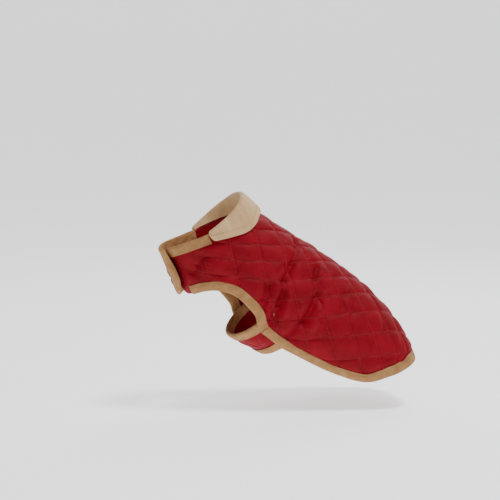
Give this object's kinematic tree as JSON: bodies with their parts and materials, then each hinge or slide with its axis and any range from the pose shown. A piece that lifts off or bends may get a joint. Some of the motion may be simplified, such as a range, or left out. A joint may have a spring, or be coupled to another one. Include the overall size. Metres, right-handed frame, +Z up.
{
  "type": "dog winter coat",
  "caption": "Quilted dog winter coat with turned-down collar, bound edges, overlapping chest flaps, leg cut-outs and belly strap, shaped as worn and hollow.",
  "frame": {"origin": "on the back line at the cloth's outer face, a little behind the shoulders, over the place where the wearer's back carries the coat", "axes": "+Z up, +X towards the rump, -Y to the wearer's left side, which the picture shows; y = 0 is the middle plane"},
  "size_m": [0.3864, 0.1938, 0.2784],
  "materials": {
    "quilted_red": "diamond-quilted woven shell with a soft sheen",
    "tan_binding": "folded tan binding with a short nap",
    "collar_suede": "soft brushed suede-like pile",
    "fastener_tape": "matt hook-and-loop tape"
  },
  "bodies": {
    "root": {"body_panel": "quilted_red", "collar": "collar_suede", "hem_binding": "tan_binding", "armhole_binding_near": "tan_binding", "armhole_binding_far": "tan_binding", "flap_binding": "tan_binding", "neck_binding_far": "tan_binding", "neck_binding_near": "tan_binding", "belly_strap": "quilted_red", "strap_binding_front": "tan_binding", "strap_binding_rear": "tan_binding", "chest_fastener_loop": "fastener_tape", "chest_fastener_hook": "fastener_tape", "strap_fastener_loop": "fastener_tape", "strap_fastener_hook": "fastener_tape"}
  },
  "joints": []
}
